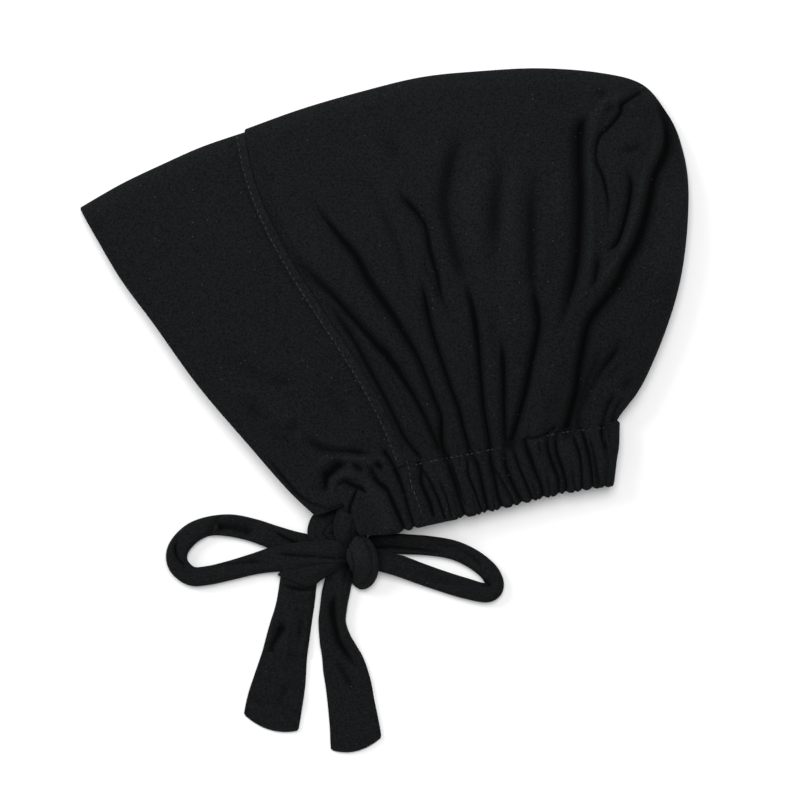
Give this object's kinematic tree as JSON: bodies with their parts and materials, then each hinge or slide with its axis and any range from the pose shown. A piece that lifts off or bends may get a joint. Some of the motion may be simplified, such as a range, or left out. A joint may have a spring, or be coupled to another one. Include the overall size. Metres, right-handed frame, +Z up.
{
  "type": "hijab underscarf cap",
  "caption": "Jersey bonnet cap with a smooth face band, gathered crown, elastic neck casing and ties knotted in a bow, lying on its side.",
  "frame": {"origin": "on the surface that the cap lies on, under the middle of the cap's outline without its bow", "axes": "+X towards the back of the head, +Y towards the top of the head, +Z up from the surface, through the cap's flattened sides"},
  "size_m": [0.3042, 0.3424, 0.0244],
  "materials": {
    "jersey": "matt",
    "jersey_strap": "matt"
  },
  "bodies": {
    "root": {"front_panel": "jersey", "crown": "jersey", "drawstring_casing": "jersey", "tie_root_upper": "jersey_strap", "tie_root_lower": "jersey_strap", "bow_knot": "jersey_strap", "bow_loop_left": "jersey_strap", "bow_loop_right": "jersey_strap", "tie_tail_left": "jersey_strap", "tie_tail_right": "jersey_strap"}
  },
  "joints": []
}
